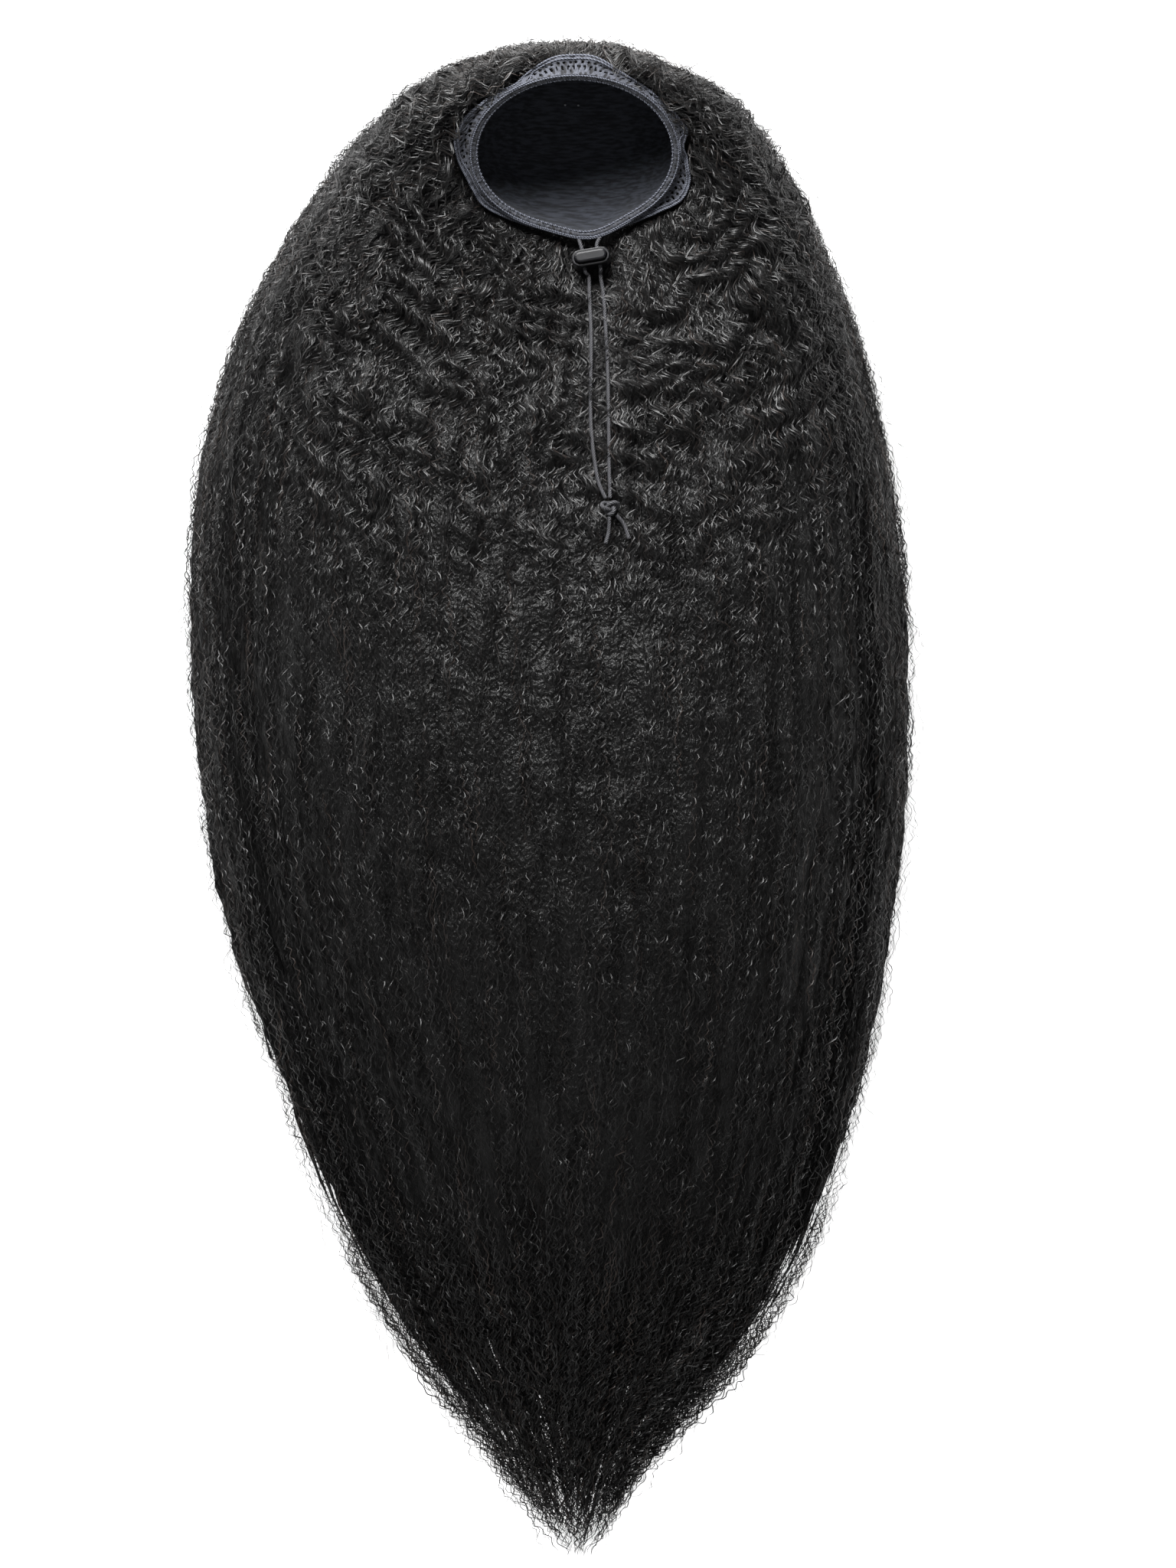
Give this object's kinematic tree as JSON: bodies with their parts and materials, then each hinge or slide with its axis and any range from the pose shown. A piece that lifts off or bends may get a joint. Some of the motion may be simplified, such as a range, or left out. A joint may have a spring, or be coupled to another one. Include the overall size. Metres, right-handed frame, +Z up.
{
  "type": "drawstring ponytail hairpiece",
  "caption": "Long kinky-straight ponytail hairpiece sewn to a net cap, with a scalloped lace rim, an elastic drawstring and a sprung cord lock.",
  "frame": {"origin": "on the table, under the middle of the laid hair", "axes": "+Z up; +Y from the tips of the hair to its crown; +X to the right seen from above with the crown away"},
  "size_m": [0.3046, 0.632, 0.077],
  "materials": {
    "hair": "satin",
    "net": "matte",
    "lace": "matte",
    "elastic": "matte",
    "plastic": "gloss"
  },
  "bodies": {
    "ponytail": {"hair": "hair", "cap_net": "net", "weft_row_1": "hair", "weft_row_2": "hair", "weft_row_3": "hair", "weft_row_4": "hair", "drawstring_casing": "lace", "lace_band": "lace", "lace_edging": "lace", "drawstring_ring": "elastic", "drawstring_left_leg": "elastic", "drawstring_right_leg": "elastic", "drawstring_knot": "elastic", "drawstring_left_tail": "elastic", "drawstring_right_tail": "elastic", "cord_lock_body": "plastic"},
    "lock_button": {"cord_lock_button": "plastic"}
  },
  "joints": [
    {"name": "lock_press", "type": "slide", "parent": "ponytail", "child": "lock_button", "axis": [0.0585, -0.1058, -0.9927], "range_m": [0, 0.0015], "stiffness_N_per_m": 300, "springref_m": -0.0015}
  ]
}
